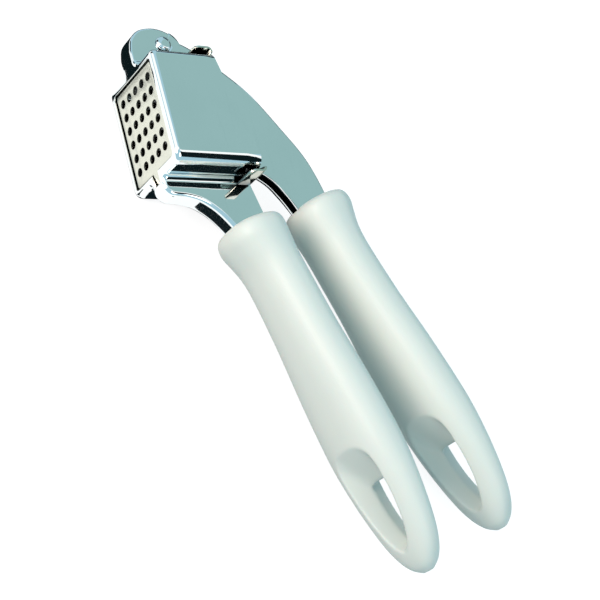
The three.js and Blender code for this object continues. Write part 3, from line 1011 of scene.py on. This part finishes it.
class PRESS_OT_finishes(bpy.types.Operator):
    """Makes the finishes that the pieces share"""

    bl_idname = "press.finishes"
    bl_label = "Finishes"

    def execute(self, context):
        colours = colours_of(context)
        chrome_finish("chromed_lever_steel", colours.chrome, colours.chrome_worn, 0.035)
        chrome_finish("chromed_plunger_steel", colours.chrome_worn, colours.chrome, 0.12)
        chrome_finish("bright_rivet_steel", colours.chrome, colours.chrome_worn, 0.06)
        strainer_finish(colours.strainer, colours.strainer_shade)
        grip_finish(colours.grip, colours.grip_shade)
        return {"FINISHED"}


class PRESS_OT_chamber_lever(bpy.types.Operator):
    """Bends the chamber lever out of one sheet"""

    bl_idname = "press.chamber_lever"
    bl_label = "Chamber lever"

    def execute(self, context):
        piece = chamber_lever(sizes_of(context))
        finish = bpy.data.materials["chromed_lever_steel"]
        place(piece, finish, "chamber_body", "chromed_steel", "chamber_lever")
        return {"FINISHED"}


class PRESS_OT_press_lever(bpy.types.Operator):
    """Bends the arched press lever out of one sheet"""

    bl_idname = "press.press_lever"
    bl_label = "Press lever"

    def execute(self, context):
        piece = press_lever(sizes_of(context))
        finish = bpy.data.materials["chromed_lever_steel"]
        place(piece, finish, "press_body", "chromed_steel", "press_lever")
        return {"FINISHED"}


class PRESS_OT_strainer(bpy.types.Operator):
    """Makes the pierced strainer and its tab"""

    bl_idname = "press.strainer"
    bl_label = "Strainer"

    def execute(self, context):
        finish = bpy.data.materials["brushed_strainer_steel"]
        for piece in strainer_insert(sizes_of(context)):
            place(piece, finish, "chamber_body", "strainer_steel", "strainer_insert")
        return {"FINISHED"}


class PRESS_OT_plunger(bpy.types.Operator):
    """Makes the press tray and the saddle that carries it"""

    bl_idname = "press.plunger"
    bl_label = "Plunger"

    def execute(self, context):
        finish = bpy.data.materials["chromed_plunger_steel"]
        place(press_tray(), finish, "plunger_body", "plunger_steel", "press_plate")
        place(plunger_saddle(), finish, "plunger_body", "plunger_steel", "plunger_bracket")
        return {"FINISHED"}


class PRESS_OT_rivets(bpy.types.Operator):
    """Makes the main rivet and the plunger's pin"""

    bl_idname = "press.rivets"
    bl_label = "Rivets"

    def execute(self, context):
        finish = bpy.data.materials["bright_rivet_steel"]
        main_rivet = rivet("main_rivet", PIVOT, radius=1.7, head=2.4, face=3.23, height=1.27)
        place(main_rivet, finish, "chamber_body", "rivet_steel", "pivot_rivet")
        pin = rivet("plunger_rivet", PIN, radius=1.2, head=1.9, face=3.23, height=1.1)
        place(pin, finish, "plunger_body", "rivet_steel", "plunger_pin")
        return {"FINISHED"}


class PRESS_OT_grips(bpy.types.Operator):
    """Moulds the grip of each lever"""

    bl_idname = "press.grips"
    bl_label = "Grips"

    def execute(self, context):
        sizes = sizes_of(context)
        finish = bpy.data.materials["moulded_grip_plastic"]
        near = grip("chamber_grip", GRIP_A, -1, tang_a(), CHANNEL_HALF, sizes)
        place(near, finish, "chamber_body", "grip_plastic", "grip_a")
        far = grip("press_grip", GRIP_B, 1, tang_b(), LEVER_HALF, sizes)
        place(far, finish, "press_body", "grip_plastic", "grip_b")
        return {"FINISHED"}


# ---------------------------------------------------------------- studio

FLOOR_SIZE = 5.0
FLOOR_DROP = 0.0002
SKY_COLOUR = (0.56, 0.86, 1.0, 1)
LIT_PLACE = Vector((-0.05, -0.02, 0.02))
CARD_DISTANCE = 0.6
FLOOR_CARD_HEIGHT = 0.0003
SENSOR_WIDTH = 36
CAMERA_RIGHT = Vector((0.2519, 0.8129, 0.5252))
CAMERA_UP = Vector((-0.9067, 0.0084, 0.4219))

CARD_GLOWS = {
    "teal": ((0.33, 0.52, 0.52), 1.0),
    "white": ((1.0, 1.0, 1.0), 1.15),
    "black": ((0.004, 0.01, 0.012), 1.0),
    "below": ((0.12, 0.22, 0.25), 1.0),
}

# Cards round the chamber: name, glow, direction from the chamber, width and depth.
SKY_CARDS = (
    ("teal_card", "teal", (-0.34, 0.58, 0.74), 0.44, 0.70),
    ("white_strip", "white", (0.15, 0.58, 0.80), 0.15, 0.70),
    ("black_card", "black", (0.50, 0.58, 0.64), 0.32, 0.70),
    ("side_card", "black", (-0.76, 0.58, 0.24), 0.20, 0.24),
    ("rim_card", "black", (-0.34, 0.93, 0.12), 0.40, 0.20),
    ("dome_card", "black", (-0.78, -0.58, 0.25), 0.26, 0.40),
    ("front_card", "white", (-0.34, -0.60, 0.72), 0.26, 0.80),
)

# Black cards just above the floor, under and beside the press, that only mirrors see: painted shade where
# the chrome reflects the floor round the press. Name, X, Y, width, depth and turn in degrees.
FLOOR_CARDS = (
    ("neck_card", -0.0139, -0.0345, 0.006, 0.005, 0),
    ("end_wall_card", -0.0294, -0.0110, 0.012, 0.038, 0),
    ("foot_card", -0.0324, -0.0355, 0.006, 0.011, 0),
    ("channel_card", -0.0799, -0.0537, 0.011, 0.0075, 0),
    ("frame_card", -0.0743, -0.0542, 0.0022, 0.027, -30.2),
    ("corner_card", -0.0368, -0.0463, 0.0016, 0.0040, -30.2),
    ("ear_card", -0.2392, 0.0745, 0.3216, 0.2630, 0),
    ("under_card", -0.0519, -0.0303, 0.035, 0.0267, 0),
)


def flat_sheet(name, width, depth, finish):
    """A rectangle round the origin, in a stage piece of its own."""
    mesh = bpy.data.meshes.new(name)
    w, d = width / 2, depth / 2
    mesh.from_pydata([(-w, -d, 0), (w, -d, 0), (w, d, 0), (-w, d, 0)], [], [(0, 1, 2, 3)])
    mesh.materials.append(finish)
    sheet = bpy.data.objects.new(name, mesh)
    bpy.context.scene.collection.objects.link(sheet)
    return sheet


def flat_card(name, centre, width, depth, rotation, finish):
    """A card that the camera does not see and that casts no shadow, for mirrors alone to show."""
    card = flat_sheet(name, width, depth, finish)
    card.location = centre
    card.rotation_euler = rotation
    card.visible_camera = False
    card.visible_diffuse = False
    card.visible_shadow = False
    card.visible_transmission = False
    return card


def soft_light(name, centre, size, power, colour):
    """A round soft lamp turned towards the origin."""
    light = bpy.data.lights.new(name, "AREA")
    light.shape = "DISK"
    light.size = size
    light.energy = power
    light.color = colour
    lamp = bpy.data.objects.new(name, light)
    lamp.location = centre
    lamp.rotation_euler = Vector(centre).to_track_quat("Z", "Y").to_euler()
    bpy.context.scene.collection.objects.link(lamp)


def lay_floor(tint):
    """A pale floor; the darker card under it, laid with the other cards, lights the undersides in its place.
    """
    floor = flat_sheet("floor", FLOOR_SIZE, FLOOR_SIZE, floor_finish(tint))
    floor.location.z = -FLOOR_DROP
    floor.visible_diffuse = False


def set_cards():
    """The cards that shape what the bright sheet reflects, and the one under the floor."""
    glows = {key: card_finish(f"{key}_card", *glow) for key, glow in CARD_GLOWS.items()}
    for name, key, direction, width, depth in SKY_CARDS:
        away = Vector(direction).normalized()
        facing = (-away).to_track_quat("Z", "Y").to_euler()
        flat_card(name, LIT_PLACE + away * CARD_DISTANCE, width, depth, facing, glows[key])
    # Floor cards: painted shade for the mirrors, under and beside the press.
    for name, x, y, width, depth, turn in FLOOR_CARDS:
        turned = (0, 0, math.radians(turn))
        flat_card(name, (x, y, FLOOR_CARD_HEIGHT), width, depth, turned, glows["black"])
    below = flat_card("below_card", (0, 0, -0.002), FLOOR_SIZE, FLOOR_SIZE, (0, 0, 0), glows["below"])
    below.visible_diffuse = True
    below.visible_glossy = False


def set_camera(scene, studio):
    right = CAMERA_RIGHT.normalized()
    back = right.cross(CAMERA_UP).normalized()
    up = back.cross(right)
    lens = bpy.data.cameras.new("camera")
    lens.lens = studio.lens
    lens.sensor_width = SENSOR_WIDTH
    lens.clip_start = 0.01
    camera = bpy.data.objects.new("camera", lens)
    spot = Vector(studio.camera_place)
    camera.matrix_world = Matrix.Translation(spot) @ Matrix((right, up, back)).transposed().to_4x4()
    scene.collection.objects.link(camera)
    scene.camera = camera


class PRESS_OT_stage(bpy.types.Operator):
    """Lays the floor and sets up the light and the camera"""

    bl_idname = "press.stage"
    bl_label = "Studio"

    def execute(self, context):
        scene = context.scene
        studio = scene.press_studio
        lay_floor(colours_of(context).floor)

        world = bpy.data.worlds.new("even_sky")
        world.use_nodes = True
        sky = world.node_tree.nodes["Background"]
        sky.inputs["Color"].default_value = SKY_COLOUR
        sky.inputs["Strength"].default_value = studio.sky
        scene.world = world

        set_cards()
        soft_light("key", (-0.08, -0.68, 0.36), 0.40, studio.key, (1.0, 0.80, 0.72))
        soft_light("fill", (0.45, 0.1, 0.6), 0.5, studio.key * 0.22, (1.0, 0.92, 0.85))
        set_camera(scene, studio)
        scene.view_settings.view_transform = "Standard"
        scene.view_settings.look = "None"
        return {"FINISHED"}


OPERATORS = (
    PRESS_OT_stage, PRESS_OT_finishes, PRESS_OT_chamber_lever, PRESS_OT_press_lever, PRESS_OT_strainer,
    PRESS_OT_plunger, PRESS_OT_rivets, PRESS_OT_grips,
)


class PRESS_PT_panel(bpy.types.Panel):
    """Lists the press's pieces in the sidebar"""

    bl_idname = "PRESS_PT_panel"
    bl_label = "Garlic press"
    bl_space_type = "VIEW_3D"
    bl_region_type = "UI"
    bl_category = "Garlic press"

    def draw(self, context):
        for operator in OPERATORS:
            self.layout.operator(operator.bl_idname)
        for group in (context.scene.press_sizes, context.scene.press_colours, context.scene.press_studio):
            for key in group.__annotations__:
                self.layout.prop(group, key)


CLASSES = (PressSizes, PressColours, StudioSettings, *OPERATORS, PRESS_PT_panel)


def register():
    for each in CLASSES:
        bpy.utils.register_class(each)
    bpy.types.Scene.press_sizes = bpy.props.PointerProperty(type=PressSizes)
    bpy.types.Scene.press_colours = bpy.props.PointerProperty(type=PressColours)
    bpy.types.Scene.press_studio = bpy.props.PointerProperty(type=StudioSettings)


def unregister():
    del bpy.types.Scene.press_studio
    del bpy.types.Scene.press_colours
    del bpy.types.Scene.press_sizes
    for each in reversed(CLASSES):
        bpy.utils.unregister_class(each)


def main():
    register()
    for operator in OPERATORS:
        group, action = operator.bl_idname.split(".")
        getattr(getattr(bpy.ops, group), action)()


if __name__ == "__main__":
    main()
